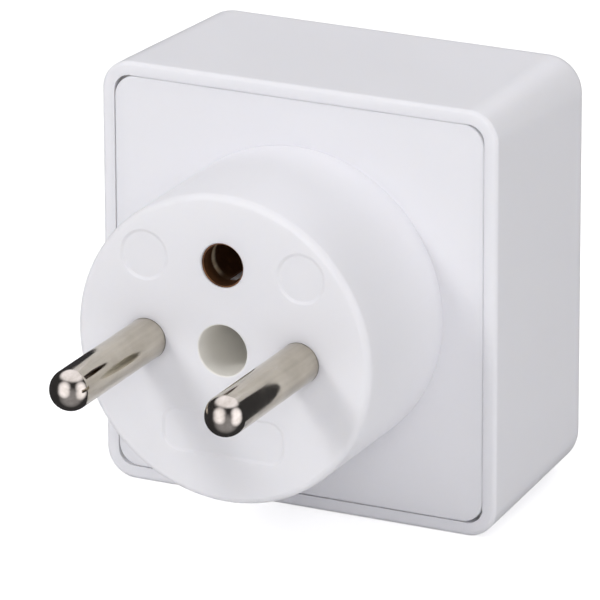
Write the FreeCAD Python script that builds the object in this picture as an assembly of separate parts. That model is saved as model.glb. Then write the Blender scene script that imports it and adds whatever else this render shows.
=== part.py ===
import FreeCAD, Part
import math
import os

# Travel plug adapter, in millimetres.
# +Z is up, +Y points from the plug side to the socket side, +X is to the right seen from the plug side.
# The origin is on the axis of the round boss, in the plane where the boss leaves the square box.

os.makedirs("parts", exist_ok=True)
Vec = FreeCAD.Vector

# Box: its width, height and depth follow from what it holds, see below
box_draft = 0.6            # how far each side leans in over the depth
rim_corner_r = 3.6
back_corner_r = 4.4
back_edge_r = 3.0
rim_edge_r = 0.5
rim_width = 1.6
wall = 2.3                 # side walls below the lid's ledge
face_wall = 2.4            # socket face
inner_corner_r = 2.0
post_sink = 0.2            # pillars and ribs run this far into the wall they grow from
past = 1.0                 # cuts run this far past what they cut
same_place = 0.01

# Lid with the round boss
lid_thick = 2.0
lid_gap = 0.08
lid_corner_r = 2.6
opening_corner_r = 2.0
lid_edge_r = 0.2
boss_length = 19.2
boss_margin = 6.6          # from the boss to the side of the box
boss_wall = 2.0
boss_room = 2.1            # from the pin sockets to the boss wall
boss_front = 2.6
boss_edge_r = 0.8
hole_edge_r = 0.2          # round the mouths of the middle and earth holes
tube_wall = 1.2
web_thick = 1.2
web_length = 6.0           # how far the webs reach behind the boss front

# Shallow marks moulded in the boss face
mark_r = 3.0
mark_x = 9.7
mark_z = 9.9
mark_depth = 0.18
mark_slope = 0.35          # width of the sloping edge of each mark
pocket_length = 15.3
pocket_height = 5.3
pocket_corner_r = 2.0
pocket_z = -10.15

# Round pins
pin_r = 2.4
pin_length = 20.6
pin_spacing = 19.0
pin_seat_gap = 0.03
pin_root_r = 2.58          # thicker root inside the boss front
pin_root_depth = 0.12      # and how far behind the boss face it starts
pin_socket_depth = 4.4     # behind the boss front
pin_socket_wall = 1.0
pin_flange_r = 3.5
pin_flange_thick = 1.6
pin_flange_gap = 0.1
pin_tail_r = 1.6
pin_tail_head_r = 2.3
pin_tail_head_thick = 1.0
pin_bore_r = 1.2           # the pins are hollow, open at the tail
pin_tip_thick = 4.0        # from the tip to the end of the bore

# Earth hole and its slit sleeve
earth_z = 10.0
earth_hole_r = 2.6
earth_lip = 0.3            # the boss face runs this thick over the sleeve's mouth
sleeve_bore_r = 2.43
sleeve_wall = 0.27
sleeve_gap = 0.05
sleeve_length = 14.5
sleeve_bottom = 0.8
sleeve_slit_width = 1.1
sleeve_slit_start = 2.2    # behind the sleeve's mouth
sleeve_slit_length = 8.0
sleeve_flange_r = 4.0
sleeve_flange_thick = 0.8
sleeve_flange_back = 0.3   # from the flange to the end of the sleeve
sleeve_stub_r = 1.4
sleeve_head_r = 2.2
sleeve_head_thick = 0.7
sleeve_mouth_r = 0.12

# Middle hole and assembly screw
screw_hole_r = 3.0
screw_seat_y = -1.4
screw_floor = 2.0
screw_r = 1.45
screw_clearance = 0.25
screw_thread_gap = 0.05
screw_point = 0.7
screw_length = 16.0
screw_head_r = 2.7
screw_head_thick = 1.9
screw_head_edge_r = 0.7
screw_cross_length = 3.0
screw_cross_width = 0.7
screw_cross_depth = 1.1
washer_r = 2.85
washer_thick = 0.5

# British three-slot socket: pins, slots and where they are
flat_pin_width = 6.35
flat_pin_thick = 3.97
tall_pin_height = 7.92
flat_pin_length = 17.7
tall_pin_length = 22.73
flat_end_gap = 0.7         # from a flat pin's end to the rivet head before it
tall_end_gap = 0.37        # from the tall pin's end to the rear plate
flat_spacing = 22.23
socket_pitch_z = 22.23     # from the line of the flat pins up to the earth pin
slot_clearance = 0.37      # between a pin and its slot, all round
slot_corner_r = 0.5
slot_lead_in = 0.5

# Central pillar, block pillars and corner posts of the housing
pillar_r = 3.2
pillar_gap = 0.2
pillar_end_gap = 0.2       # from the pillar to the floor of the screw tube
block_pillar_r = 2.4
block_pillar_inset = 3.4   # from the inside of the wall
corner_post_r = 2.2
corner_post_inset = 3.0

# Moulded block that holds the socket contacts
block_front_thick = 1.7
block_wall = 1.1
block_edge_gap = 1.0
ear_height = 7.2
ear_corner_r = 2.4
chamber_rear_gap = 0.2     # from the back of the jaws to the open end of a chamber
chamber_side_gap = 0.9
chamber_top_gap = 0.35
block_screw_r = 1.05
block_screw_gap = 0.1
block_screw_length = 6.0
block_screw_head_r = 2.0
block_screw_head_thick = 1.3
block_screw_slot_depth = 0.65

# Rear plate with posts that back the pins and ribs that back the contacts
plate_y = 2.5
plate_thick = 1.4
plate_foot = 3.4           # side of each square foot between lid and plate
plate_edge_gap = 0.4
plate_corner_r = 2.0
post_wall = 0.9
post_bore_gap = 0.45       # round a riveted head
plate_rib_thick = 1.2
plate_rib_min = 0.9        # least height of the ribs behind the contacts
plate_slot_gap = 0.6

# Brass sheet parts
sheet = 0.7
strap_thick = 0.8
strap_width = 5.0
strap_bend_r = 1.0
strap_drop = 6.3           # the line and neutral straps run this far below the pins
tab_r = 3.2
leaf_narrower = 0.15       # a leaf is this much narrower than its pin
jaw_bite = 0.57            # the jaws close to this much less than the pin's thickness
jaw_root_gap = 0.7         # from the pin's face to the middle of a leaf at its root
jaw_mouth_gap = 0.9        # and at its flared mouth
jaw_bend_r = 0.6
jaw_grip_start = 4.05      # from the back of the jaws to where the leaves run level
jaw_taper = 1.6
jaw_flare = 1.2
jaw_end_gap = 0.3          # from the mouth of the jaws to the front of the block
rivet_r = 1.2
rivet_gap = 0.05
rivet_head_r = 2.0
rivet_head_thick = 0.6
clip_thick = 0.5
clip_gap = 0.05
clip_width = 2.5
clip_bend_r = 0.15
clip_start = 4.85          # from the back of the jaws to the clip
clip_slit = 2.4
earth_channel_length = 3.5
earth_leaf_start = 1.7     # the free leaves start this far above the channel's floor
earth_leaf_shorter = 0.3   # than the tall pin
earth_pin_clear = 0.15     # from the tall pin down to the rivet's head
earth_rivet_side_gap = 0.2 # from the rivet's heads to the channel's sides

# Safety shutter and its spring
shutter_gap = 0.3          # to the socket face and to the block
shutter_side_gap = 0.3
shutter_depth = 5.0
shutter_overlap = 0.2      # of the closed shutter over the top of a slot
shutter_below = 1.7        # the closed shutter reaches this far below a slot
shutter_over_width = 0.45  # each end of a ramp reaches this far past its slot
shutter_lip = 0.5
shutter_past = 0.12        # how far the open shutter clears the pin
shutter_bar_height = 4.6
shutter_bar_thick = 2.6
shutter_stop_gap = 0.1
stop_size = 2.4
stop_height = 1.2
guide_thick = 1.2
guide_rise = 5.5           # the guides reach this far above the slots
spring_r = 1.3
spring_wire_r = 0.2
spring_turns = 6
spring_pocket_gap = 0.35
spring_pocket_depth = 2.9
spring_pocket_wall = 1.0
shelf_width = 4.2
shelf_gap = 0.5            # under the open shutter
shelf_height = 2.77
peg_r = 0.85
peg_height = 1.4

# Places across the box, worked out from the sizes above
pin_x = pin_spacing / 2
flat_x = flat_spacing / 2
flat_z = -socket_pitch_z / 2
tall_z = socket_pitch_z / 2
slot_width = flat_pin_width + 2 * slot_clearance
slot_height = flat_pin_thick + 2 * slot_clearance
tall_slot_height = tall_pin_height + 2 * slot_clearance
slot_places = [(side * flat_x, flat_z, slot_width, slot_height) for side in (-1, 1)]
slot_places.append((0, tall_z, slot_height, tall_slot_height))
shutter_top_z = flat_z + slot_height / 2 + shutter_overlap
shutter_bottom_z = flat_z - slot_height / 2 - shutter_below
shutter_travel = shutter_top_z - (flat_z - flat_pin_thick / 2) + shutter_past
shutter_half = flat_x + slot_width / 2 + shutter_over_width
shelf_z = shutter_bottom_z - shutter_travel - shelf_gap
inner_half_z = shelf_height - shelf_z
box_height = 2 * (inner_half_z + wall)
pin_socket_r = pin_flange_r + pin_flange_gap + pin_socket_wall
boss_inner_r = pin_x + pin_socket_r + boss_room
boss_r = boss_inner_r + boss_wall
box_width = 2 * (boss_r + boss_margin)
inner_half_x = box_width / 2 - wall
block_screw_x = inner_half_x - block_pillar_inset
sleeve_r = sleeve_bore_r + sleeve_wall
screw_tube_r = screw_hole_r + tube_wall
earth_tube_r = sleeve_r + sleeve_gap + tube_wall
strap_x = (pin_x + flat_x) / 2
leaf_width = flat_pin_width - leaf_narrower
grip_centre = (flat_pin_thick - jaw_bite + sheet) / 2
jaw_root = flat_pin_thick / 2 + jaw_root_gap
jaw_mouth = flat_pin_thick / 2 + jaw_mouth_gap
earth_floor_z = tall_z - tall_pin_height / 2 - earth_pin_clear - rivet_head_thick
earth_strap_z = earth_floor_z - sheet - strap_thick
earth_leaf_height = tall_pin_height - earth_leaf_shorter

# Places along the box
plate_back_y = plate_y + plate_thick
flat_stack = plate_rib_min + rivet_head_thick + strap_thick + sheet + rivet_head_thick + flat_end_gap
box_depth = plate_back_y + max(flat_stack + flat_pin_length, tall_end_gap + tall_pin_length)
lean = box_draft / box_depth
inner_face_y = box_depth - face_wall
block_front_y = inner_face_y - shutter_depth - 2 * shutter_gap
block_rear_y = block_front_y - block_front_thick
shutter_front_y = inner_face_y - shutter_gap
shutter_back_y = block_front_y + shutter_gap
spring_y = (shutter_front_y + shutter_back_y) / 2
spring_top_z = shutter_bottom_z + spring_pocket_depth
contact_back_y = box_depth - flat_pin_length - flat_end_gap - rivet_head_thick - sheet / 2
contact_outer_y = contact_back_y - sheet / 2
strap_back_y = contact_outer_y - strap_thick
chamber_rear_y = contact_outer_y + chamber_rear_gap
jaw_length = block_rear_y - jaw_end_gap - contact_back_y
jaw_grip_end = jaw_length - jaw_flare
boss_front_y = -boss_length
boss_inner_y = boss_front_y + boss_front
pin_root_y = boss_front_y + pin_root_depth
pin_socket_end_y = boss_inner_y + pin_socket_depth
pin_flange_y = pin_socket_end_y - pin_flange_thick
tab_y = pin_socket_end_y
tab_back_y = tab_y + strap_thick
sleeve_y = boss_front_y + earth_lip + sleeve_gap
sleeve_end_y = sleeve_y + sleeve_length
sleeve_flange_y = sleeve_end_y - sleeve_flange_back - sleeve_flange_thick
pillar_end_y = screw_seat_y + screw_floor + pillar_end_gap


def box(x0, x1, y0, y1, z0, z1):
    return Part.makeBox(x1 - x0, y1 - y0, z1 - z0, Vec(x0, y0, z0))


def rod_y(radius, y0, y1, x=0.0, z=0.0):
    return Part.makeCylinder(radius, y1 - y0, Vec(x, y0, z), Vec(0, 1, 0))


def rod_z(radius, z0, z1, x=0.0, y=0.0):
    return Part.makeCylinder(radius, z1 - z0, Vec(x, y, z0), Vec(0, 0, 1))


def rounded_wire(width, height, radius, y, x=0.0, z=0.0):
    """A rectangle with round corners in the plane at y, centred on x and z."""
    half_w = width / 2
    half_h = height / 2
    edges = []
    for quarter in range(4):
        sx, sz = [(1, 1), (-1, 1), (-1, -1), (1, -1)][quarter]
        cx = x + sx * (half_w - radius)
        cz = z + sz * (half_h - radius)
        start = math.pi / 2 * quarter
        ends = [start, start + math.pi / 4, start + math.pi / 2]
        points = [Vec(cx + radius * math.cos(a), y, cz + radius * math.sin(a)) for a in ends]
        edges.append((points, Part.Arc(*points).toShape()))
    outline = []
    for index in range(4):
        outline.append(edges[index][1])
        outline.append(Part.makeLine(edges[index][0][2], edges[(index + 1) % 4][0][0]))
    return Part.Wire(outline)


def rounded_bar(width, height, radius, y0, y1, x=0.0, z=0.0):
    """A bar along Y with a rounded rectangular section."""
    face = Part.Face(rounded_wire(width, height, radius, y0, x, z))
    return face.extrude(Vec(0, y1 - y0, 0))


def drafted_bar(half_x, half_z, y0, y1, radius0, radius1):
    """A bar along Y with round corners, whose flat sides lean in from the rim's half sizes."""
    x0, z0 = half_x - lean * y0, half_z - lean * y0
    x1, z1 = half_x - lean * y1, half_z - lean * y1
    bar = Part.makeWedge(-x0, y0, -z0, -z1, -x1, x0, y1, z0, z1, x1)
    corners = [edge for edge in bar.Edges if edge.BoundBox.YLength > (y1 - y0) / 2]
    return bar.makeFillet(radius0, radius1, corners)


def slab_x(points, x0, x1):
    """An outline of (y, z) points, extruded along X."""
    corners = [Vec(x0, y, z) for y, z in points]
    return Part.Face(Part.makePolygon(corners + corners[:1])).extrude(Vec(x1 - x0, 0, 0))


def bent_sheet(points, bend_r, thick):
    """The flat outline of a bent strip: a middle line of (u, v) points, with an arc at each corner."""
    left = []
    right = []

    def unit(a, b):
        length = math.hypot(b[0] - a[0], b[1] - a[1])
        return (b[0] - a[0]) / length, (b[1] - a[1]) / length

    def shifted(point, way, side):
        return Vec(point[0] - way[1] * side * thick / 2, point[1] + way[0] * side * thick / 2, 0)

    ways = [unit(points[i], points[i + 1]) for i in range(len(points) - 1)]
    for side, edges in ((1, left), (-1, right)):
        here = shifted(points[0], ways[0], side)
        for i in range(1, len(points) - 1):
            before, after = ways[i - 1], ways[i]
            turn = math.acos(max(-1.0, min(1.0, before[0] * after[0] + before[1] * after[1])))
            back = bend_r * math.tan(turn / 2)
            start = (points[i][0] - before[0] * back, points[i][1] - before[1] * back)
            end = (points[i][0] + after[0] * back, points[i][1] + after[1] * back)
            middle_way = unit((0, 0), (before[0] + after[0], before[1] + after[1]))
            bulge = bend_r / math.cos(turn / 2) - bend_r
            inward = unit(before, after)
            middle = (points[i][0] + inward[0] * bulge, points[i][1] + inward[1] * bulge)
            arc = [shifted(start, before, side), shifted(middle, middle_way, side), shifted(end, after, side)]
            edges.append(Part.makeLine(here, arc[0]))
            edges.append(Part.Arc(*arc).toShape())
            here = arc[2]
        last = shifted(points[-1], ways[-1], side)
        edges.append(Part.makeLine(here, last))
    caps = []
    caps.append(Part.makeLine(shifted(points[0], ways[0], 1), shifted(points[0], ways[0], -1)))
    caps.append(Part.makeLine(shifted(points[-1], ways[-1], 1), shifted(points[-1], ways[-1], -1)))
    return Part.Face(Part.Wire(Part.__sortEdges__(left + right + caps)))


def strip_x(points, bend_r, thick, x0, x1):
    """A bent strip whose (y, z) middle line lies across X, from x0 to x1 wide."""
    solid = bent_sheet(points, bend_r, thick).extrude(Vec(0, 0, x1 - x0))
    turn = FreeCAD.Matrix(0, 0, 1, x0, 1, 0, 0, 0, 0, 1, 0, 0, 0, 0, 0, 1)
    return solid.transformed(turn)


def strip_z(points, bend_r, thick, z0, z1):
    """A bent strip whose (x, y) middle line lies across Z, from z0 to z1 high."""
    solid = bent_sheet(points, bend_r, thick).extrude(Vec(0, 0, z1 - z0))
    solid.translate(Vec(0, 0, z0))
    return solid


def joined(shapes):
    return shapes[0].fuse(shapes[1:]).removeSplitter()


def edges_at_y(shape, y):
    """Edges that lie in the plane at y."""
    found = []
    for edge in shape.Edges:
        if max(abs(edge.BoundBox.YMin - y), abs(edge.BoundBox.YMax - y)) < same_place:
            found.append(edge)
    return found


def circles_at_y(shape, y, radius):
    """Whole circles of one radius in the plane at y."""
    found = []
    for edge in edges_at_y(shape, y):
        if edge.isClosed() and abs(edge.Curve.Radius - radius) < same_place:
            found.append(edge)
    return found


def socket_slots(y0, y1):
    """The three slots as bars along Y: line, neutral and earth."""
    return [rounded_bar(width, height, slot_corner_r, y0, y1, x, z) for x, z, width, height in slot_places]


def slot_lead_ins():
    """A bevel round each slot in the socket face."""
    shapes = []
    y0 = box_depth - slot_lead_in
    y1 = box_depth
    for x, z, width, height in slot_places:
        small = rounded_wire(width, height, slot_corner_r, y0, x, z)
        grown = 2 * slot_lead_in
        large = rounded_wire(width + grown, height + grown, slot_corner_r + slot_lead_in, y1, x, z)
        shapes.append(Part.makeLoft([small, large], True, True))
    return shapes


def corner_places():
    x, z = inner_half_x - corner_post_inset, inner_half_z - corner_post_inset
    return [(sx * x, sz * z) for sx in (-1, 1) for sz in (-1, 1)]


def housing():
    outer = drafted_bar(box_width / 2, box_height / 2, 0, box_depth, rim_corner_r, back_corner_r)
    outer = outer.makeFillet(back_edge_r, edges_at_y(outer, box_depth))
    outer = outer.makeFillet(rim_edge_r, edges_at_y(outer, 0))
    opening_x, opening_z = box_width - 2 * rim_width, box_height - 2 * rim_width
    lid_pocket = rounded_bar(opening_x, opening_z, opening_corner_r, -past, lid_thick)
    cavity = drafted_bar(inner_half_x, inner_half_z, lid_thick, inner_face_y, inner_corner_r, inner_corner_r)
    shell = outer.cut([lid_pocket, cavity])
    grown = [rod_y(pillar_r, pillar_end_y, inner_face_y + post_sink)]
    for sx in (-1, 1):
        grown.append(rod_y(block_pillar_r, block_front_y, inner_face_y + post_sink, sx * block_screw_x))
        guide_x = shutter_half + shutter_side_gap
        guide = sorted((sx * guide_x, sx * (guide_x + guide_thick)))
        guide_top = flat_z + guide_rise
        grown.append(box(guide[0], guide[1], shutter_back_y, inner_face_y + post_sink, shelf_z, guide_top))
        stop = sorted((sx * (flat_x - slot_width / 2), sx * (flat_x - slot_width / 2 - stop_size)))
        stop_z = shutter_top_z + shutter_stop_gap
        grown.append(box(stop[0], stop[1], spring_y, inner_face_y + post_sink, stop_z, stop_z + stop_height))
    for x, z in corner_places():
        grown.append(rod_y(corner_post_r, plate_back_y, inner_face_y + post_sink, x, z))
    floor_z = -inner_half_z + lean * inner_face_y
    wall_z = floor_z - post_sink
    half = shelf_width / 2
    grown.append(box(-half, half, shutter_back_y, inner_face_y + post_sink, wall_z, shelf_z))
    grown.append(rod_z(peg_r, shelf_z - post_sink, shelf_z + peg_height, 0, spring_y))
    body = joined([shell] + grown)
    bores = [rod_y(screw_r + screw_thread_gap, pillar_end_y - past, screw_seat_y + screw_length + past)]
    for sx in (-1, 1):
        depth = block_rear_y + block_screw_length + block_screw_gap
        bores.append(rod_y(block_screw_r + screw_thread_gap, block_front_y - past, depth, sx * block_screw_x))
    return body.cut(bores + socket_slots(inner_face_y - past, box_depth + past) + slot_lead_ins())


def boss_webs():
    """Thin webs that tie the tubes inside the boss to its wall."""
    y0 = boss_inner_y - post_sink
    y1 = boss_inner_y + web_length
    half = web_thick / 2
    reach = boss_inner_r + half
    top = box(-half, half, y0, y1, earth_z + sleeve_r + sleeve_gap + half, reach)
    low = box(-half, half, y0, y1, -reach, -screw_hole_r - half)
    webs = [top, low]
    for sx in (-1, 1):
        ends = sorted((sx * (pin_x + pin_flange_r + pin_flange_gap + half), sx * reach))
        webs.append(box(ends[0], ends[1], y0, pin_socket_end_y, -half, half))
    return webs


def pocket_mark():
    """The long shallow mark below the pins, with a sloping edge."""
    outlines = []
    for inset, y in ((0, boss_front_y), (mark_slope, boss_front_y + mark_depth)):
        wide, high = pocket_length - 2 * inset, pocket_height - 2 * inset
        outlines.append(rounded_wire(wide, high, pocket_corner_r - inset, y, 0, pocket_z))
    return Part.makeLoft(outlines, True, True)


def plug_base():
    inset = 2 * (rim_width + lid_gap)
    lid = rounded_bar(box_width - inset, box_height - inset, lid_corner_r, 0, lid_thick)
    lid = lid.makeFillet(lid_edge_r, edges_at_y(lid, 0))
    boss = rod_y(boss_r, boss_front_y, lid_thick)
    boss = boss.makeFillet(boss_edge_r, edges_at_y(boss, boss_front_y))
    shell = lid.fuse(boss).cut(rod_y(boss_inner_r, boss_inner_y, lid_thick + past))
    sink_y = boss_inner_y - post_sink
    grown = [rod_y(screw_tube_r, sink_y, screw_seat_y + screw_floor)]
    grown.append(rod_y(earth_tube_r, sink_y, sleeve_flange_y, 0, earth_z))
    for sx in (-1, 1):
        grown.append(rod_y(pin_socket_r, sink_y, pin_socket_end_y, sx * pin_x))
    body = joined([shell] + grown + boss_webs())
    cuts = [rod_y(screw_hole_r, boss_front_y - past, screw_seat_y)]
    cuts.append(rod_y(screw_r + screw_clearance, screw_seat_y - past, screw_seat_y + screw_floor + past))
    cuts.append(rod_y(earth_hole_r, boss_front_y - past, boss_inner_y, 0, earth_z))
    cuts.append(rod_y(sleeve_r + sleeve_gap, boss_front_y + earth_lip, sleeve_flange_y + past, 0, earth_z))
    for sx in (-1, 1):
        cuts.append(rod_y(pin_r + pin_seat_gap, boss_front_y - past, boss_inner_y, sx * pin_x))
        root_y = pin_root_y - pin_seat_gap
        cuts.append(rod_y(pin_root_r + pin_seat_gap, root_y, pin_socket_end_y + past, sx * pin_x))
        seat_r = pin_flange_r + pin_flange_gap
        cuts.append(rod_y(seat_r, pin_flange_y, pin_socket_end_y + past, sx * pin_x))
        place = Vec(sx * mark_x, boss_front_y, mark_z)
        cuts.append(Part.makeCone(mark_r, mark_r - mark_slope, mark_depth, place, Vec(0, 1, 0)))
    cuts.append(pocket_mark())
    body = body.cut(cuts)
    mouths = circles_at_y(body, boss_front_y, screw_hole_r) + circles_at_y(body, boss_front_y, earth_hole_r)
    return body.makeFillet(hole_edge_r, mouths)


def pin(x):
    tip_y = boss_front_y - pin_length
    parts = [Part.makeSphere(pin_r, Vec(x, tip_y + pin_r, 0))]
    parts.append(rod_y(pin_r, tip_y + pin_r, pin_root_y, x))
    parts.append(rod_y(pin_root_r, pin_root_y, pin_flange_y, x))
    parts.append(rod_y(pin_flange_r, pin_flange_y, tab_y, x))
    parts.append(rod_y(pin_tail_r, tab_y, tab_back_y, x))
    parts.append(riveted_head(pin_tail_head_r, pin_tail_head_thick, tab_back_y, x))
    bore_end_y = tab_back_y + pin_tail_head_thick + 1
    return joined(parts).cut(rod_y(pin_bore_r, tip_y + pin_tip_thick, bore_end_y, x))


def riveted_head(radius, thick, y, x=0.0, z=0.0, way=1):
    """A low domed head whose flat side is at y, domed towards way."""
    sphere_r = (radius ** 2 + thick ** 2) / (2 * thick)
    ball = Part.makeSphere(sphere_r, Vec(x, y + way * (thick - sphere_r), z))
    ends = sorted((y, y + way * thick))
    return ball.common(rod_y(radius, ends[0], ends[1], x, z))


def earth_sleeve():
    tube = rod_y(sleeve_r, sleeve_y, sleeve_end_y, 0, earth_z)
    tube = tube.makeFillet(sleeve_mouth_r, edges_at_y(tube, sleeve_y))
    flange = rod_y(sleeve_flange_r, sleeve_flange_y, sleeve_flange_y + sleeve_flange_thick, 0, earth_z)
    stub = rod_y(sleeve_stub_r, sleeve_end_y - post_sink, sleeve_end_y + strap_thick, 0, earth_z)
    head = riveted_head(sleeve_head_r, sleeve_head_thick, sleeve_end_y + strap_thick, 0, earth_z)
    body = joined([tube, flange, stub, head])
    bore = rod_y(sleeve_bore_r, sleeve_y - past, sleeve_end_y - sleeve_bottom, 0, earth_z)
    half = sleeve_slit_width / 2
    reach = sleeve_r + past
    slit_y = sleeve_y + sleeve_slit_start
    slit = box(-half, half, slit_y, slit_y + sleeve_slit_length, earth_z - reach, earth_z + reach)
    return body.cut([bore, slit])


def assembly_screw():
    head_y = screw_seat_y - washer_thick
    head = rod_y(screw_head_r, head_y - screw_head_thick, head_y)
    head = head.makeFillet(screw_head_edge_r, edges_at_y(head, head_y - screw_head_thick))
    shank = rod_y(screw_r, head_y, screw_seat_y + screw_length)
    shank = shank.makeChamfer(screw_point, edges_at_y(shank, screw_seat_y + screw_length))
    long, half = screw_cross_length / 2, screw_cross_width / 2
    low, high = head_y - screw_head_thick - past, head_y - screw_head_thick + screw_cross_depth
    cross = box(-long, long, low, high, -half, half).fuse(box(-half, half, low, high, -long, long))
    return joined([head, shank]).cut(cross)


def screw_washer():
    ring = rod_y(washer_r, screw_seat_y - washer_thick, screw_seat_y)
    return ring.cut(rod_y(screw_r + screw_thread_gap, screw_seat_y - past, screw_seat_y + past))


def chamber_places():
    """Middle and half size of each contact chamber in x and z."""
    grip_side = leaf_width / 2 + clip_gap + clip_thick
    half_x = grip_side + chamber_side_gap / 2
    half_z = jaw_mouth + sheet / 2 + chamber_top_gap
    places = [(side * flat_x, flat_z - half_z, flat_z + half_z, half_x) for side in (-1, 1)]
    low = earth_strap_z - rivet_head_thick - earth_pin_clear
    top = earth_floor_z + earth_leaf_start + earth_leaf_height + clip_thick + clip_gap + chamber_top_gap
    places.append((0, low, top, half_z))
    return places


def contact_block():
    half_wide = flat_x + slot_width / 2 + block_wall + block_edge_gap
    half_tall = tall_z + tall_slot_height / 2 + block_wall + block_edge_gap
    plate = rounded_bar(2 * half_wide, 2 * half_tall, rim_corner_r, block_rear_y, block_front_y)
    ear_half = inner_half_x - lean * block_front_y - block_edge_gap
    ears = rounded_bar(2 * ear_half, ear_height, ear_corner_r, block_rear_y, block_front_y)
    shapes = [plate, ears]
    hollows = []
    for x, z0, z1, half_x in chamber_places():
        wide = half_x + block_wall
        low, high = z0 - block_wall, z1 + block_wall
        shapes.append(box(x - wide, x + wide, chamber_rear_y, block_rear_y + post_sink, low, high))
        hollows.append(box(x - half_x, x + half_x, chamber_rear_y - past, block_rear_y, z0, z1))
    body = joined(shapes)
    cuts = hollows + socket_slots(block_rear_y - past, block_front_y + past)
    cuts.append(rod_y(pillar_r + pillar_gap, chamber_rear_y - past, block_front_y + past))
    for sx in (-1, 1):
        radius = block_screw_r + screw_clearance
        cuts.append(rod_y(radius, block_rear_y - past, block_front_y + past, sx * block_screw_x))
    for x, z in corner_places():
        cuts.append(rod_y(corner_post_r + pillar_gap, chamber_rear_y - past, block_front_y + past, x, z))
    return body.cut(cuts)


def block_screw(side):
    x = side * block_screw_x
    head = riveted_head(block_screw_head_r, block_screw_head_thick, block_rear_y, x, 0, -1)
    shank = rod_y(block_screw_r, block_rear_y, block_rear_y + block_screw_length, x)
    half = screw_cross_width / 2
    top_y = block_rear_y - block_screw_head_thick
    reach = block_screw_head_r
    slot = box(x - half, x + half, top_y - past, top_y + block_screw_slot_depth, -reach, reach)
    return joined([head, shank]).cut(slot)


def rear_plate():
    inset = lean * plate_back_y + plate_edge_gap
    back_y = plate_back_y
    wide, high = 2 * (inner_half_x - inset), 2 * (inner_half_z - inset)
    shapes = [rounded_bar(wide, high, plate_corner_r, plate_y, back_y)]
    for x, z in corner_places():
        half = plate_foot / 2
        shapes.append(box(x - half, x + half, lid_thick, back_y, z - half, z + half))
    cuts = [rod_y(pillar_r + pillar_gap, plate_y - past, back_y + past)]
    bore_r = pin_tail_head_r + post_bore_gap
    for sx in (-1, 1):
        shapes.append(rod_y(bore_r + post_wall, tab_back_y, back_y, sx * pin_x))
        cuts.append(rod_y(bore_r, tab_back_y - past, back_y + past, sx * pin_x))
        half = strap_width / 2 + plate_slot_gap
        room = strap_thick / 2 + plate_slot_gap
        x = sx * strap_x
        low, high = -strap_drop - room, -strap_drop + room
        cuts.append(box(x - half, x + half, plate_y - past, back_y + past, low, high))
        reach = rivet_head_r + plate_slot_gap
        for way in (-1, 1):
            ends = sorted((flat_z + way * reach, flat_z + way * (reach + plate_rib_thick)))
            half_rib = strap_width / 2
            x = sx * flat_x
            shapes.append(box(x - half_rib, x + half_rib, plate_y, strap_back_y, ends[0], ends[1]))
    half = strap_width / 2 + plate_slot_gap
    low = earth_strap_z - plate_slot_gap
    high = earth_strap_z + strap_thick + plate_slot_gap
    cuts.append(box(-half, half, plate_y - past, back_y + past, low, high))
    post_y = sleeve_end_y + strap_thick
    bore_r = sleeve_head_r + post_bore_gap
    shapes.append(rod_y(bore_r + post_wall, post_y, back_y, 0, earth_z))
    cuts.append(rod_y(bore_r, post_y - past, back_y + past, 0, earth_z))
    return joined(shapes).cut(cuts)


def flat_contact(side):
    """Jaws for a flat pin: one folded strip, open towards the socket face."""
    x = side * flat_x
    y = contact_back_y
    upper = [(y + jaw_length, jaw_mouth), (y + jaw_grip_end, grip_centre), (y + jaw_grip_start, grip_centre)]
    upper += [(y + jaw_grip_start - jaw_taper, jaw_root), (y, jaw_root)]
    line = [(u, flat_z + v) for u, v in upper] + [(u, flat_z - v) for u, v in reversed(upper)]
    jaws = strip_x(line, jaw_bend_r, sheet, x - leaf_width / 2, x + leaf_width / 2)
    return jaws.cut(rod_y(rivet_r + rivet_gap, y - past, y + past, x, flat_z))


def flat_strap(side):
    """From the pin's tail down, along the box and down again to the back of the jaws."""
    x = side * strap_x
    y0 = tab_y + strap_thick / 2
    y1 = contact_outer_y - strap_thick / 2
    low = flat_z - rivet_head_r - plate_rib_thick
    line = [(y0, 0), (y0, -strap_drop), (y1, -strap_drop), (y1, low)]
    strap = strip_x(line, strap_bend_r, strap_thick, x - strap_width / 2, x + strap_width / 2)
    tab = rod_y(tab_r, tab_y, tab_back_y, side * pin_x)
    body = joined([strap, tab])
    cuts = [rod_y(pin_tail_r + rivet_gap, tab_y - past, tab_back_y + past, side * pin_x)]
    cuts.append(rod_y(rivet_r + rivet_gap, strap_back_y - past, contact_outer_y + past, side * flat_x, flat_z))
    return body.cut(cuts)


def flat_rivet(side):
    x = side * flat_x
    front_y = contact_back_y + sheet / 2
    shank = rod_y(rivet_r, strap_back_y, front_y, x, flat_z)
    back_head = riveted_head(rivet_head_r, rivet_head_thick, strap_back_y, x, flat_z, -1)
    return joined([shank, back_head, riveted_head(rivet_head_r, rivet_head_thick, front_y, x, flat_z)])


def clip_band(half_x, half_z, y, x, z, slit_x, slit_z):
    """A square steel band round a pair of leaves, slit towards (slit_x, slit_z)."""
    wide, high = 2 * (half_x + clip_thick), 2 * (half_z + clip_thick)
    outer = rounded_bar(wide, high, clip_bend_r + clip_thick, y, y + clip_width, x, z)
    inner = rounded_bar(2 * half_x, 2 * half_z, clip_bend_r, y - past, y + clip_width + past, x, z)
    half = clip_slit / 2
    ends_x = sorted((x - half * slit_z, x + half * slit_z + slit_x * (half_x + clip_thick + past)))
    ends_z = sorted((z - half * abs(slit_x), z + half * abs(slit_x) + slit_z * (half_z + clip_thick + past)))
    slit = box(ends_x[0], ends_x[1], y - past, y + clip_width + past, ends_z[0], ends_z[1])
    return outer.cut([inner, slit])


def flat_clip(side):
    half_x = leaf_width / 2 + clip_gap
    half_z = grip_centre + sheet / 2 + clip_gap
    return clip_band(half_x, half_z, contact_back_y + clip_start, side * flat_x, flat_z, side, 0)


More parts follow.
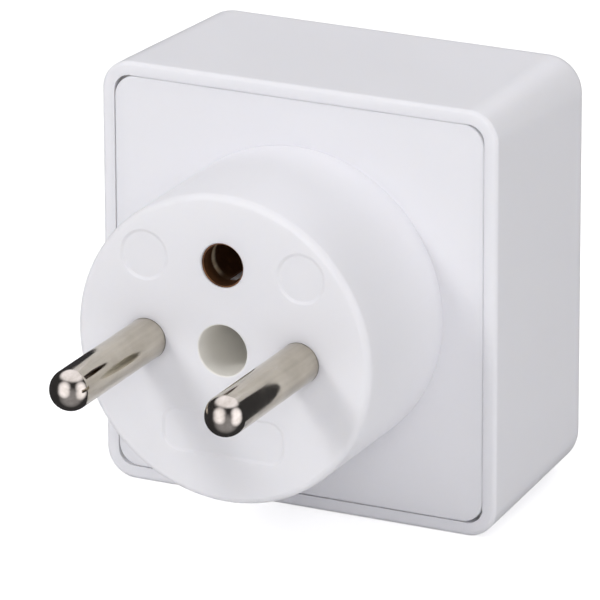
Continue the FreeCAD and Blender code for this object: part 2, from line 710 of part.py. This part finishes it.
def earth_leaf_z():
    low = earth_floor_z + earth_leaf_start
    return low, low + earth_leaf_height


def earth_contact():
    """A channel that is riveted to the strap, with two free leaves for the tall pin."""
    y = contact_outer_y
    low, high = earth_leaf_z()
    floor_mid = earth_floor_z - sheet / 2
    channel_top = floor_mid + earth_leaf_height + earth_leaf_start
    root = jaw_root
    outline = [(-root, channel_top), (-root, floor_mid), (root, floor_mid), (root, channel_top)]
    channel = bent_sheet(outline, jaw_bend_r, sheet).extrude(Vec(0, 0, -earth_channel_length))
    turn = FreeCAD.Matrix(1, 0, 0, 0, 0, 0, -1, y, 0, 1, 0, 0, 0, 0, 0, 1)
    channel = channel.transformed(turn)
    shapes = [channel]
    for sx in (-1, 1):
        line = [(sx * root, y + earth_channel_length / 2), (sx * root, y + jaw_grip_start)]
        line += [(sx * grip_centre, y + jaw_grip_start + jaw_taper), (sx * grip_centre, y + jaw_grip_end)]
        line += [(sx * jaw_mouth, y + jaw_length)]
        shapes.append(strip_z(line, jaw_bend_r, sheet, low, high))
    rivet_y = y + earth_channel_length / 2
    return joined(shapes).cut(rod_z(rivet_r + rivet_gap, floor_mid - past, floor_mid + past, 0, rivet_y))


def earth_strap():
    """From the sleeve's tail down and along to the floor of the earth channel."""
    y0 = sleeve_end_y + strap_thick / 2
    z1 = earth_strap_z + strap_thick / 2
    end_y = contact_outer_y + earth_channel_length
    line = [(y0, earth_z), (y0, z1), (end_y, z1)]
    strap = strip_x(line, strap_bend_r, strap_thick, -strap_width / 2, strap_width / 2)
    tab = rod_y(tab_r, sleeve_end_y, sleeve_end_y + strap_thick, 0, earth_z)
    body = joined([strap, tab])
    back_y = sleeve_end_y + strap_thick
    cuts = [rod_y(sleeve_stub_r + rivet_gap, sleeve_end_y - past, back_y + past, 0, earth_z)]
    rivet_y = contact_outer_y + earth_channel_length / 2
    cuts.append(rod_z(rivet_r + rivet_gap, z1 - past, z1 + past, 0, rivet_y))
    return body.cut(cuts)


def earth_rivet():
    y = contact_outer_y + earth_channel_length / 2
    low = earth_strap_z
    head_r = jaw_root - sheet / 2 - earth_rivet_side_gap
    shapes = [rod_z(rivet_r, low - rivet_head_thick, earth_floor_z + rivet_head_thick, 0, y)]
    shapes.append(rod_z(head_r, low - rivet_head_thick, low, 0, y))
    shapes.append(rod_z(head_r, earth_floor_z, earth_floor_z + rivet_head_thick, 0, y))
    return joined(shapes)


def earth_clip():
    low, high = earth_leaf_z()
    half_x = grip_centre + sheet / 2 + clip_gap
    half_z = (high - low) / 2 + clip_gap
    return clip_band(half_x, half_z, contact_outer_y + jaw_grip_start + jaw_taper, 0, (low + high) / 2, 0, 1)


def shutter():
    """Two ramps on a bar. A flat pin pushes on the ramp and the shutter slides down."""
    top, bottom = shutter_top_z, shutter_bottom_z
    front, back = shutter_front_y, shutter_back_y
    ramp_foot = flat_z - flat_pin_thick / 2 - shutter_lip
    ramp = [(back, bottom), (front, bottom), (front, ramp_foot), (back + shutter_lip, top), (back, top)]
    ramp_half = slot_width / 2 + shutter_over_width
    shapes = [slab_x(ramp, sx * flat_x - ramp_half, sx * flat_x + ramp_half) for sx in (-1, 1)]
    bar_half = flat_x - ramp_half
    bar_top = bottom + shutter_bar_height
    shapes.append(box(-bar_half, bar_half, back, back + shutter_bar_thick, bottom, bar_top))
    half = spring_r + spring_wire_r + spring_pocket_gap
    hub_half = half + spring_pocket_wall
    shapes.append(box(-hub_half, hub_half, back, front, bottom, bar_top))
    pocket = box(-half, half, spring_y - half, spring_y + half, bottom - past, spring_top_z)
    return joined(shapes).cut(pocket)


def shutter_spring():
    height = spring_top_z - shelf_z - 2 * spring_wire_r
    helix = Part.makeHelix(height / spring_turns, height, spring_r)
    section = Part.makeCircle(spring_wire_r, Vec(spring_r, 0, 0), Vec(0, 1, 0))
    coil = Part.Wire(helix).makePipeShell([Part.Wire(section)], True, True)
    coil.translate(Vec(0, spring_y, shelf_z + spring_wire_r))
    return coil


def nodes():
    yield "housing", housing()
    yield "plug_base", plug_base()
    yield "earth_sleeve", earth_sleeve()
    yield "assembly_screw", assembly_screw()
    yield "screw_washer", screw_washer()
    yield "contact_block", contact_block()
    yield "rear_plate", rear_plate()
    yield "earth_contact", earth_contact()
    yield "earth_strap", earth_strap()
    yield "earth_rivet", earth_rivet()
    yield "earth_clip", earth_clip()
    yield "shutter", shutter()
    yield "shutter_spring", shutter_spring()
    for name, side in (("line", -1), ("neutral", 1)):
        yield name + "_pin", pin(side * pin_x)
        yield name + "_contact", flat_contact(side)
        yield name + "_strap", flat_strap(side)
        yield name + "_rivet", flat_rivet(side)
        yield name + "_clip", flat_clip(side)
    for name, side in (("left", -1), ("right", 1)):
        yield "block_screw_" + name, block_screw(side)


for node, shape in nodes():
    shape.exportStep("parts/" + node + ".step")
    solids = len(shape.Solids)
    print(node, "solids", solids, "valid", shape.isValid(), "volume", round(shape.Volume, 1))
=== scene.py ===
import math

import bpy
from mathutils import Matrix, Vector


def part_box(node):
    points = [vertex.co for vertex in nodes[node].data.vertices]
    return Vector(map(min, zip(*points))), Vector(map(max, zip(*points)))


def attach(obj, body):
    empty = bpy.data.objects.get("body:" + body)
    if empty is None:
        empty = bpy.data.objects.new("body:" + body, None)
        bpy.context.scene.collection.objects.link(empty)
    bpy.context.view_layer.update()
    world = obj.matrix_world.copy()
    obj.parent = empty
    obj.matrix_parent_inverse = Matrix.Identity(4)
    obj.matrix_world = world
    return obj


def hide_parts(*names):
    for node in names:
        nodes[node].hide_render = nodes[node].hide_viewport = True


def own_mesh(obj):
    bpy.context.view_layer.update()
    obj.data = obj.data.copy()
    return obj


# Looks for the travel plug adapter: metres, +Z up, -Y towards the tips of the pins.

# Camera, fitted to the photo: in front of the pins, to the right and above. Angles are in degrees.
CAMERA_AZIMUTH = 25.95
CAMERA_ELEVATION = 19.54
CAMERA_ROLL = -0.21
CAMERA_DISTANCE = 0.786
CAMERA_LENS = 414.7
CAMERA_SENSOR = 36.0
CAMERA_TARGET = (0.0003, 0.0, -0.0001)

# Light on the object, where 1 lights a white surface to white
SKY_LIGHT = 0.335
SKY_TINT = (0.995, 0.985, 1.02)
# Each lamp's direction from the object, the side of its square and its level
LAMPS = {
    "front_lamp": ((0.30, -0.90, 0.33), 0.25, 0.12),
    "left_lamp": ((-0.55, -0.85, 0.75), 0.22, 0.30),
    "right_lamp": ((0.85, -0.15, 0.5), 0.5, 0.20),
    "top_lamp": ((0.1, -0.1, 1.0), 0.4, 0.15),
    "back_lamp": ((-0.1, 0.9, 0.4), 0.5, 0.24),
}
LAMP_DISTANCE = 0.8

# The floor, with pale specks and a glow that makes it show white outside the object's shadow
FLOOR_SIZE = 3.0
FLOOR_TONES = ((0.88, 0.88, 0.88), (0.87, 0.87, 0.87))
FLOOR_GRAIN = 40
FLOOR_GLOW = 0.52
WHITE = (1, 1, 1)

# The studio as it is mirrored: dim, with a bright patch above, one over another on each side of the
# camera, and a faint wide one in front, low down. Each has a direction, the cosines of its soft edge
# and a level.
STUDIO_TINT = (0.995, 0.98, 1.11)
STUDIO_DIM = 0.05
STUDIO_PATCHES = [
    ((-0.05, 0.27, 0.96), 0.60, 0.82, 1.4),
    ((-0.20, -0.89, 0.41), 0.75, 1.0, 1.8),
    ((-0.15, -0.99, 0.05), 0.75, 1.0, 1.8),
    ((0.97, -0.02, 0.23), 0.75, 1.0, 1.8),
    ((0.99, -0.09, -0.14), 0.75, 1.0, 1.8),
    ((0.40, -0.75, -0.52), 0.30, 0.95, 0.42),
]

# The lighter and the darker tone of each material
WHITE_TONES = ((0.915, 0.91, 0.94), (0.905, 0.90, 0.93))
INSULATOR_TONES = ((0.72, 0.70, 0.66), (0.66, 0.64, 0.60))
SHUTTER_TONES = ((0.74, 0.74, 0.75), (0.70, 0.70, 0.71))
NICKEL_TONES = ((0.62, 0.575, 0.487), (0.475, 0.435, 0.358))
BRASS_TONES = ((0.72, 0.52, 0.24), (0.48, 0.32, 0.14))
WORN_AND_HIGHLIGHT_TONES = ((0.90, 0.80, 0.62), (0.74, 0.60, 0.40))
TARNISH_TONES = ((0.26, 0.12, 0.05), (0.12, 0.055, 0.025))
ZINC_TONES = ((0.62, 0.62, 0.60), (0.42, 0.42, 0.41))
STEEL_TONES = ((0.52, 0.52, 0.54), (0.34, 0.34, 0.36))

# Noise is mostly between these values
NOISE_LOW = 0.3
NOISE_HIGH = 0.7

# Grains to the metre of the plastics' tint, gloss and skin, of the tarnish, and of streaks that run
# along one axis
TINT_GRAIN = 35
GLOSS_GRAIN = 60
SMOOTH_SKIN = 140
FINE_SKIN = 1200
TARNISH_GRAIN = 420
ALONG_Y = (1500, 60, 1500)
ALONG_Z = (1500, 1500, 60)

# How far the plastics' gloss wanders to each side, how high their skin stands and how strongly they
# reflect, where 0.5 is the usual plastic
GLOSS_WANDER = 0.02
SKIN_HEIGHT = 0.00003
SKIN_STRENGTH = 0.5
PLASTIC_REFLECTION = 0.35

# The white plastic's roughness, the share of light that goes in, and how far each colour of it goes
WHITE_ROUGHNESS = 0.36
WHITE_DEPTH = 0.25
LIGHT_REACH = (0.0028, 0.0026, 0.0023)

# The 6 mm hole in the middle of the boss: its wall's colour, painted paler and warmer as painted
# light, and the radii between which that ends
BORE_PAINTED_LIGHT = (0.96, 0.94, 0.89)
BORE_RADIUS = 0.00302
BORE_END = 0.0032

# How far the metals' roughness wanders down and up, and how high their streaks stand
POLISHED_BY = 0.05
DULLED_BY = 0.07
STREAK_HEIGHT = 0.0001
STREAK_STRENGTH = 0.06

# The earth tube, by depth from its mouth: brown as far as TARNISH_DEPTH, then a pale band, partly
# wear and partly painted highlight, as far as WORN_AND_HIGHLIGHT_DEPTH, and brown again, with soft
# and wavering borders
TARNISH_DEPTH = 0.0021
TARNISH_FADE = 0.0004
WORN_AND_HIGHLIGHT_DEPTH = 0.0027
WORN_AND_HIGHLIGHT_FADE = 0.0008
BORDER_WAVER = 0.0006
# The pale band, worn where a pin rubs and painted as a highlight, lies mostly on the tube's flanks,
# which start this far to the side of its middle line
FLANK_START = 0.0010
FLANK_FULL = 0.0020
FLANK_LEAST = 0.1
TUBE_ROUGHNESS = (0.4, 0.55)
TUBE_SCRATCH = 0.08
# How metallic the brown parts and the pale band, partly wear and partly painted highlight, are
BROWN_METALLIC = 0.7
WORN_AND_HIGHLIGHT_METALLIC = 0.2

# The shutter's coil: its turns, the steps in each, its wire's radius and the sides of its wire
COIL_TURNS = 6
COIL_STEPS = 32
WIRE_RADIUS = 0.0002
WIRE_SIDES = 12

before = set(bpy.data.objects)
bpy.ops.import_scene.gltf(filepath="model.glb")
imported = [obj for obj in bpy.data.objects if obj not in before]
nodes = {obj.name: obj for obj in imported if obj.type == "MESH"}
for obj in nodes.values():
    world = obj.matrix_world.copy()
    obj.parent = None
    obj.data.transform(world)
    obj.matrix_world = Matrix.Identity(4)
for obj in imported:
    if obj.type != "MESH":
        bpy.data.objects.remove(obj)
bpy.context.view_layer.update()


def node_adder(tree):
    """A function that adds a node to an emptied tree, with its settings and inputs."""
    tree.nodes.clear()

    def add(kind, inputs=None, **settings):
        node = tree.nodes.new(kind)
        for key, value in settings.items():
            setattr(node, key, value)
        for key, value in (inputs or {}).items():
            if isinstance(value, bpy.types.NodeSocket):
                tree.links.new(value, node.inputs[key])
            else:
                node.inputs[key].default_value = value
        return node

    return add


def new_material(name):
    material = bpy.data.materials.new(name)
    material.use_nodes = True
    return material, node_adder(material.node_tree)


def new_object(name, data):
    thing = bpy.data.objects.new(name, data)
    bpy.context.scene.collection.objects.link(thing)
    return thing


def colour(rgb):
    return (*rgb, 1.0)


def object_place(add):
    return add("ShaderNodeTexCoord").outputs["Object"]


def grain(add, stretch, detail=3.0, roughness=0.5):
    """Noise with this many grains to the metre, the same along each axis or one number for each."""
    scale = stretch if isinstance(stretch, tuple) else (stretch, stretch, stretch)
    mapping = add("ShaderNodeMapping", {"Vector": object_place(add), "Scale": scale})
    inputs = {"Vector": mapping.outputs["Vector"], "Scale": 1.0, "Detail": detail}
    inputs["Roughness"] = roughness
    return add("ShaderNodeTexNoise", inputs).outputs["Fac"]


def streaks(add, stretch):
    return grain(add, stretch, detail=4.0, roughness=0.6)


def patches(add, stretch):
    return grain(add, stretch, detail=5.0, roughness=0.6)


def soft_grain(add, stretch):
    return grain(add, stretch, detail=1.0)


def span(add, value, start, end, low, high):
    """Runs from low to high, and stays there, while a value runs from start to end."""
    inputs = {"Value": value, "From Min": start, "From Max": end, "To Min": low, "To Max": high}
    return add("ShaderNodeMapRange", inputs, interpolation_type="SMOOTHSTEP").outputs["Result"]


def ramp(add, noise, low, high):
    """Turns noise into a number between low and high."""
    return span(add, noise, NOISE_LOW, NOISE_HIGH, low, high)


def maths(add, operation, *values):
    return add("ShaderNodeMath", dict(enumerate(values)), operation=operation).outputs[0]


def blend_colours(add, factor, *ends):
    """Mixes two colours, where each may be the output of an earlier mix."""
    first, second = (end if isinstance(end, bpy.types.NodeSocket) else colour(end) for end in ends)
    return add("ShaderNodeMix", {0: factor, 6: first, 7: second}, data_type="RGBA").outputs[2]


def toned(add, noise, tones):
    """The lighter tone where noise is low, and the darker one where it is high."""
    return blend_colours(add, ramp(add, noise, 0.0, 1.0), *tones)


def raised(add, height, strength, distance):
    """The normal of a surface that stands up to distance higher where height is 1."""
    inputs = {"Height": height, "Strength": strength, "Distance": distance}
    return add("ShaderNodeBump", inputs).outputs["Normal"]


def finish_material(add, shader):
    add("ShaderNodeOutputMaterial", {"Surface": shader.outputs["BSDF"]})


def middle_bore(add):
    """1 on the wall of the hole in the middle of the boss, which runs along Y, and 0 elsewhere."""
    inputs = {0: object_place(add), 1: (1.0, 0.0, 1.0)}
    outward = add("ShaderNodeVectorMath", inputs, operation="MULTIPLY").outputs["Vector"]
    radius = add("ShaderNodeVectorMath", {0: outward}, operation="LENGTH").outputs["Value"]
    return span(add, radius, BORE_RADIUS, BORE_END, 1.0, 0.0)


def moulded_plastic(name, tones, roughness, skin=SMOOTH_SKIN, depth=0.0, bore=False):
    """Moulded plastic: nearly even colour, gloss that wanders and a skin that isn't quite flat.

    depth is the share of light that goes in and comes out elsewhere. With bore, the wall of the
    middle hole takes none in and is painted paler and warmer, as painted light for the light that
    reaches it through the plastic round it.
    """
    material, add = new_material(name)
    base = toned(add, soft_grain(add, TINT_GRAIN), tones)
    if bore:
        inside = middle_bore(add)
        # Painted light: the middle hole's wall is painted paler and warmer than the shell
        base = blend_colours(add, inside, base, BORE_PAINTED_LIGHT)
        depth = span(add, inside, 0.0, 1.0, depth, 0.0)
    gloss = soft_grain(add, GLOSS_GRAIN)
    inputs = {"Base Color": base, "Subsurface Weight": depth}
    inputs["Roughness"] = ramp(add, gloss, roughness - GLOSS_WANDER, roughness + GLOSS_WANDER)
    inputs["Normal"] = raised(add, soft_grain(add, skin), SKIN_STRENGTH, SKIN_HEIGHT)
    inputs["Subsurface Radius"] = LIGHT_REACH
    inputs["Subsurface Scale"] = 1.0
    inputs["Specular IOR Level"] = PLASTIC_REFLECTION
    finish_material(add, add("ShaderNodeBsdfPrincipled", inputs))
    return material


def streaked_metal(name, tones, roughness, stretch, wear):
    """Metal with streaks along its working direction, dulled in patches, with wear to the metre."""
    material, add = new_material(name)
    streak = streaks(add, stretch)
    patch = patches(add, wear)
    both = maths(add, "MULTIPLY", maths(add, "ADD", streak, patch), 0.5)
    inputs = {"Base Color": toned(add, both, tones), "Metallic": 1.0}
    inputs["Roughness"] = ramp(add, patch, roughness - POLISHED_BY, roughness + DULLED_BY)
    inputs["Normal"] = raised(add, streak, STREAK_STRENGTH, STREAK_HEIGHT)
    finish_material(add, add("ShaderNodeBsdfPrincipled", inputs))
    return material


def tarnished_tube(name, mouth_y):
    """A brass tube, brown at its mouth, worn and painted with a pale highlight where it grips a pin,
    and dull further in.
    """
    material, add = new_material(name)
    place = add("ShaderNodeSeparateXYZ", {0: object_place(add)}).outputs
    patch = patches(add, TARNISH_GRAIN)
    streak = streaks(add, ALONG_Y)
    waver = maths(add, "MULTIPLY", patch, BORDER_WAVER)
    depth = maths(add, "ADD", maths(add, "SUBTRACT", place["Y"], mouth_y), waver)
    worn_and_highlight_start = span(add, depth, TARNISH_DEPTH, TARNISH_DEPTH + TARNISH_FADE, 0.0, 1.0)
    dulled = span(add, depth, WORN_AND_HIGHLIGHT_DEPTH, WORN_AND_HIGHLIGHT_DEPTH + WORN_AND_HIGHLIGHT_FADE, 1.0, 0.0)
    flank = span(add, maths(add, "ABSOLUTE", place["X"]), FLANK_START, FLANK_FULL, FLANK_LEAST, 1.0)
    # Painted highlight: the pale, less metallic band on the flanks, partly wear where a pin rubs
    bright = maths(add, "MULTIPLY", maths(add, "MULTIPLY", worn_and_highlight_start, dulled), flank)
    brown = toned(add, patch, TARNISH_TONES)
    inputs = {"Base Color": blend_colours(add, bright, brown, toned(add, streak, WORN_AND_HIGHLIGHT_TONES))}
    inputs["Roughness"] = ramp(add, patch, *TUBE_ROUGHNESS)
    inputs["Metallic"] = span(add, bright, 0.0, 1.0, BROWN_METALLIC, WORN_AND_HIGHLIGHT_METALLIC)
    inputs["Normal"] = raised(add, streak, TUBE_SCRATCH, STREAK_HEIGHT)
    finish_material(add, add("ShaderNodeBsdfPrincipled", inputs))
    return material


def dress(material, *names):
    for name in names:
        slots = nodes[name].data.materials
        slots.clear()
        slots.append(material)


white = {"tones": WHITE_TONES, "roughness": WHITE_ROUGHNESS, "depth": WHITE_DEPTH}
shell = moulded_plastic("white_shell", **white)
bored_shell = moulded_plastic("white_plug_base", **white, bore=True)
insulator = moulded_plastic("insulator", INSULATOR_TONES, roughness=0.5, skin=FINE_SKIN)
shutter = moulded_plastic("shutter_plastic", SHUTTER_TONES, roughness=0.38)
nickel = streaked_metal("nickel_pins", NICKEL_TONES, roughness=0.12, stretch=ALONG_Y, wear=260)
brass = streaked_metal("brass_strip", BRASS_TONES, roughness=0.34, stretch=ALONG_Y, wear=180)
tube = tarnished_tube("tarnished_brass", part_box("earth_sleeve")[0].y)
zinc = streaked_metal("zinc_screws", ZINC_TONES, roughness=0.36, stretch=ALONG_Y, wear=400)
steel = streaked_metal("spring_steel", STEEL_TONES, roughness=0.34, stretch=ALONG_Z, wear=400)

dress(shell, "housing")
dress(bored_shell, "plug_base")
dress(insulator, "contact_block", "rear_plate")
dress(shutter, "shutter")
dress(nickel, "line_pin", "neutral_pin")
dress(tube, "earth_sleeve")
dress(zinc, "assembly_screw", "screw_washer", "block_screw_left", "block_screw_right")
for way in ("line", "neutral", "earth"):
    dress(brass, way + "_contact", way + "_strap", way + "_rivet")
    dress(steel, way + "_clip")


def coil_spring(name, low, high):
    """A coil of round wire with an upright axis, as large as the box from low to high."""
    middle = (low + high) / 2
    radius = (high.x - low.x) / 2 - WIRE_RADIUS
    rise = high.z - low.z - 2 * WIRE_RADIUS
    steps = COIL_TURNS * COIL_STEPS
    points = []
    for i in range(steps + 1):
        angle = 2 * math.pi * i / COIL_STEPS
        outward = Vector((math.cos(angle), math.sin(angle), 0))
        axis_point = Vector((middle.x, middle.y, low.z + WIRE_RADIUS + rise * i / steps))
        centre = axis_point + outward * radius
        for k in range(WIRE_SIDES):
            around = 2 * math.pi * k / WIRE_SIDES
            side = outward * math.cos(around) + Vector((0, 0, math.sin(around)))
            points.append(centre + WIRE_RADIUS * side)
    last = steps * WIRE_SIDES
    faces = [tuple(range(WIRE_SIDES)), tuple(reversed(range(last, last + WIRE_SIDES)))]
    for i in range(steps):
        for k in range(WIRE_SIDES):
            here, beside = i * WIRE_SIDES + k, i * WIRE_SIDES + (k + 1) % WIRE_SIDES
            faces.append((here, here + WIRE_SIDES, beside + WIRE_SIDES, beside))
    mesh = bpy.data.meshes.new(name)
    mesh.from_pydata(points, [], faces)
    mesh.polygons.foreach_set("use_smooth", [len(face) == 4 for face in faces])
    return new_object(name, mesh)


# The coil stands on the housing's shelf, where the shutter comes down on it.
coil_low, coil_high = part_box("shutter_spring")
coil = coil_spring("shutter_coil", coil_low, coil_high)
coil.data.materials.append(steel)
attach(coil, "adapter")
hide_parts("shutter_spring")
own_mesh(coil)


def seen(add):
    """1 for rays that show the backdrop or its mirror image, 0 for rays that carry its light."""
    path = add("ShaderNodeLightPath").outputs
    mirrored = maths(add, "MAXIMUM", path["Is Glossy Ray"], path["Is Transmission Ray"])
    return maths(add, "MAXIMUM", path["Is Camera Ray"], mirrored)


def pale_floor(level):
    """A floor that shows white, with the object's shadow on it."""
    material, add = new_material("pale_floor")
    matt = add("ShaderNodeBsdfDiffuse", {"Color": toned(add, grain(add, FLOOR_GRAIN), FLOOR_TONES)})
    glow = add("ShaderNodeEmission", {"Color": colour(WHITE), "Strength": FLOOR_GLOW})
    both = add("ShaderNodeAddShader", {0: matt.outputs[0], 1: glow.outputs[0]})
    mix = add("ShaderNodeMixShader", {0: seen(add), 1: matt.outputs[0], 2: both.outputs[0]})
    add("ShaderNodeOutputMaterial", {"Surface": mix.outputs[0]})
    half = FLOOR_SIZE / 2
    mesh = bpy.data.meshes.new("floor")
    corners = ((-half, -half), (half, -half), (half, half), (-half, half))
    mesh.from_pydata([(x, y, level) for x, y in corners], [], [(0, 1, 2, 3)])
    mesh.materials.append(material)
    floor = new_object("floor", mesh)
    floor.visible_glossy = False


def studio_world():
    """White where it is seen, a patchy studio where it is mirrored, and even where it lights."""
    world = bpy.data.worlds.new("studio")
    bpy.context.scene.world = world
    world.use_nodes = True
    add = node_adder(world.node_tree)
    way = add("ShaderNodeTexCoord").outputs["Generated"]
    mirrored = STUDIO_DIM
    for patch_way, edge, full, level in STUDIO_PATCHES:
        inputs = {0: way, 1: patch_way}
        facing = add("ShaderNodeVectorMath", inputs, operation="DOT_PRODUCT").outputs["Value"]
        mirrored = maths(add, "MAXIMUM", mirrored, span(add, facing, edge, full, 0.0, level))
    path = add("ShaderNodeLightPath").outputs
    mirrored = maths(add, "MULTIPLY", path["Is Glossy Ray"], mirrored)
    shown = maths(add, "MAXIMUM", path["Is Camera Ray"], mirrored)
    shown = maths(add, "MAXIMUM", shown, path["Is Transmission Ray"])
    shown_colour = blend_colours(add, path["Is Glossy Ray"], WHITE, STUDIO_TINT)
    light = add("ShaderNodeBackground", {"Color": colour(SKY_TINT), "Strength": SKY_LIGHT})
    show = add("ShaderNodeBackground", {"Color": shown_colour, "Strength": shown})
    mix = add("ShaderNodeMixShader", {0: seen(add), 1: light.outputs[0], 2: show.outputs[0]})
    add("ShaderNodeOutputWorld", {"Surface": mix.outputs[0]})


def soft_light(name, direction, size, level):
    """A square soft light that lights a white surface facing it to level."""
    lamp = bpy.data.lights.new(name, "AREA")
    lamp.shape = "SQUARE"
    lamp.size = size
    lamp.energy = level * math.pi ** 2 * LAMP_DISTANCE ** 2
    way = Vector(direction).normalized()
    place = new_object(name, lamp)
    place.location = way * LAMP_DISTANCE
    place.rotation_euler = way.to_track_quat("Z", "Y").to_euler()
    place.visible_glossy = False


def photo_camera():
    """The camera at the photo's angle."""
    angles = (CAMERA_AZIMUTH, CAMERA_ELEVATION, CAMERA_ROLL)
    azimuth, elevation, roll = (math.radians(angle) for angle in angles)
    flat = Vector((-math.sin(azimuth), math.cos(azimuth), 0))
    forward = flat * math.cos(elevation) - Vector((0, 0, math.sin(elevation)))
    level = Vector((math.cos(azimuth), math.sin(azimuth), 0))
    right = level * math.cos(roll) + level.cross(forward) * math.sin(roll)
    up = right.cross(forward)
    data = bpy.data.cameras.new("camera")
    data.lens = CAMERA_LENS
    data.sensor_width = CAMERA_SENSOR
    camera = new_object("camera", data)
    place = Matrix.Translation(Vector(CAMERA_TARGET) - forward * CAMERA_DISTANCE)
    camera.matrix_world = place @ Matrix((right, up, -forward)).transposed().to_4x4()
    bpy.context.scene.camera = camera


pale_floor(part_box("housing")[0].z)
studio_world()
for lamp_name, (direction, size, level) in LAMPS.items():
    soft_light(lamp_name, direction, size, level)
photo_camera()
bpy.context.scene.view_settings.view_transform = "Standard"
